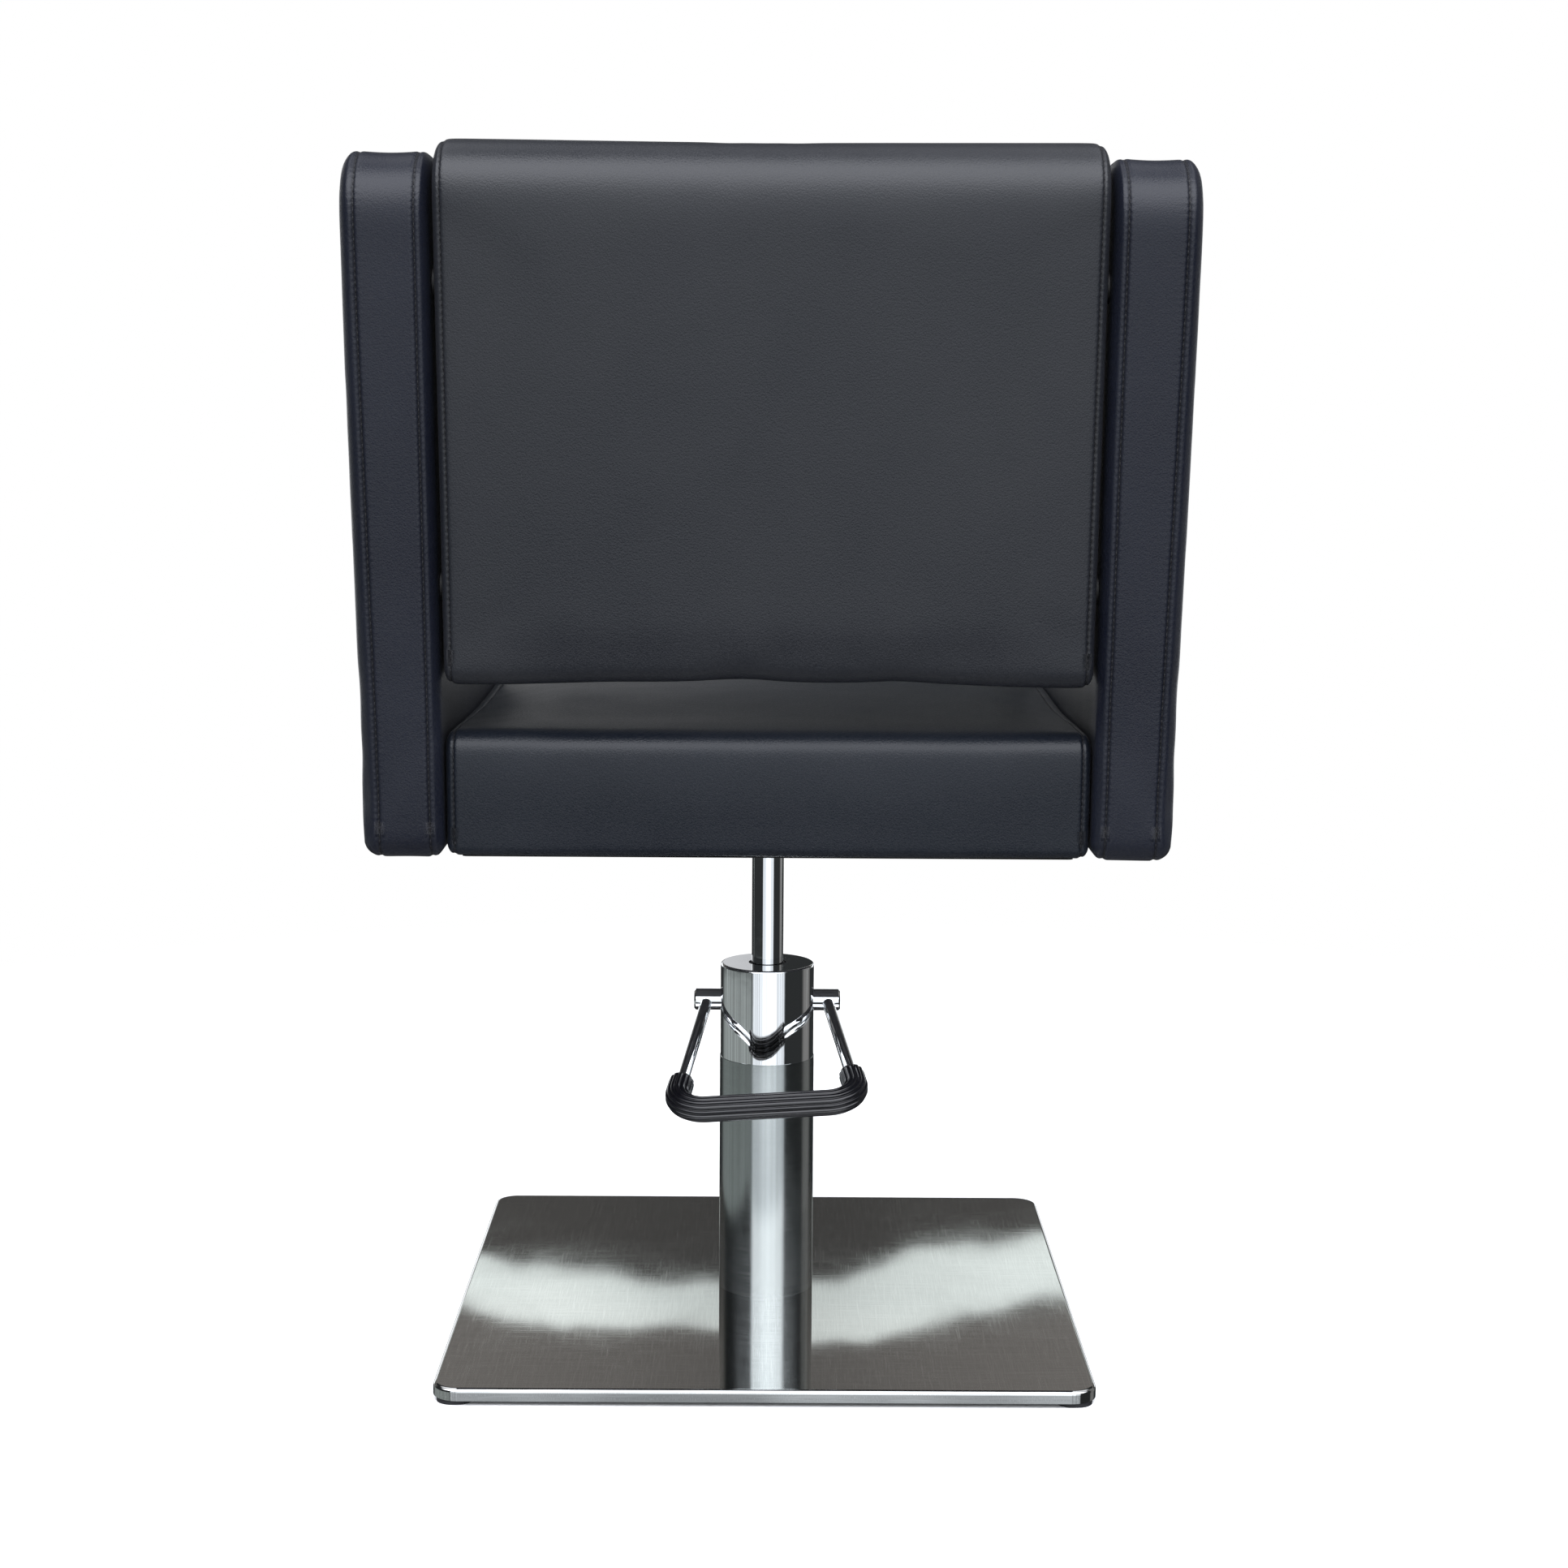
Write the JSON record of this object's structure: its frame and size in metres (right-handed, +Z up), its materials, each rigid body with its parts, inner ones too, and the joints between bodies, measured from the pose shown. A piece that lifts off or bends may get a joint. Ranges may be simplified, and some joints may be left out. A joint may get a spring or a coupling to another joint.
{
  "type": "styling chair",
  "caption": "Salon styling chair with a boxed seat, a reclined backrest between tall side panels, a hydraulic pump column with a foot pedal, and a square plate base.",
  "frame": {"origin": "on the swivel axis at floor level, under the middle of the square base", "axes": "+Z up along the swivel axis, +Y the way the sitter faces, +X to the sitter's right; the pedal is on the -Y side"},
  "size_m": [0.605, 0.5139, 0.9309],
  "materials": {
    "stainless": "satin brushed",
    "chrome": "mirror chrome",
    "dark_steel": "satin black",
    "cylinder_steel": "drawn tube",
    "cast": "machined casting",
    "bronze": "machined",
    "zinc": "zinc plated",
    "rubber": "matte",
    "nylon": "matte",
    "timber": "planed softwood",
    "plywood": "sanded",
    "vinyl": "semi-matte grained upholstery vinyl over foam",
    "dust_cloth": "matte non-woven"
  },
  "bodies": {
    "base": {"base_cover": "stainless", "ballast_plate": "dark_steel", "corner_feet": "rubber", "base_screws": "zinc", "pump_foot": "cast", "column_tube": "stainless", "reservoir_tube": "cylinder_steel", "pressure_cylinder": "cylinder_steel", "pump_head": "cast", "head_collar": "chrome", "guide_sleeve": "bronze", "ram_seal": "rubber", "gland_cover": "cast", "gland_screws": "zinc", "rod_wiper": "rubber", "plunger_barrel": "cylinder_steel", "suction_valve": "bronze", "check_ball": "chrome", "release_valve": "bronze", "return_spring": "zinc"},
    "plunger": {"plunger": "chrome"},
    "pedal": {"pedal_shaft": "chrome", "pedal_bar": "chrome", "pedal_sleeve": "rubber", "pump_yoke": "cylinder_steel", "bar_grub_screws": "zinc"},
    "ram": {"ram": "chrome", "piston": "bronze", "piston_seal": "rubber", "thrust_washer": "bronze", "retaining_washer": "zinc", "retaining_screw": "zinc"},
    "chair": {"seat_mount": "dark_steel", "swivel_bush": "bronze", "seat_bolts": "zinc", "seat_washers": "zinc", "seat_nuts": "zinc", "cross_rails": "timber", "seat_frame": "timber", "seat_board": "plywood", "seat_pad": "vinyl", "dust_cover": "dust_cloth", "back_frame": "timber", "back_board": "plywood", "backrest_pad": "vinyl", "back_spacers": "nylon", "panel_core_left": "timber", "panel_core_right": "timber", "side_panel_left": "vinyl", "side_panel_right": "vinyl", "panel_bolts": "zinc", "panel_tee_nuts": "zinc", "back_tee_nuts": "zinc"}
  },
  "joints": [
    {"name": "seat_lift", "type": "slide", "parent": "base", "child": "ram", "axis": [0, 0, 1], "range_m": [-0.075, 0.075]},
    {"name": "seat_swivel", "type": "hinge", "parent": "ram", "child": "chair", "pos_m": [0, 0, 0.39], "axis": [0, 0, 1], "continuous": true},
    {"name": "pedal_press", "type": "hinge", "parent": "base", "child": "pedal", "pos_m": [0, 0.0245, 0.251], "axis": [1, 0, 0], "range_deg": [0, 28], "stiffness_Nm_per_rad": 6, "springref_deg": -20.05},
    {"name": "plunger_stroke", "type": "slide", "parent": "base", "child": "plunger", "axis": [0, 0, -1], "range_m": [0, 0.0246], "deforming": ["return_spring"]}
  ],
  "couplings": [
    {"joint": "plunger_stroke", "follows": "pedal_press", "m_per_rad": 0.0498}
  ]
}
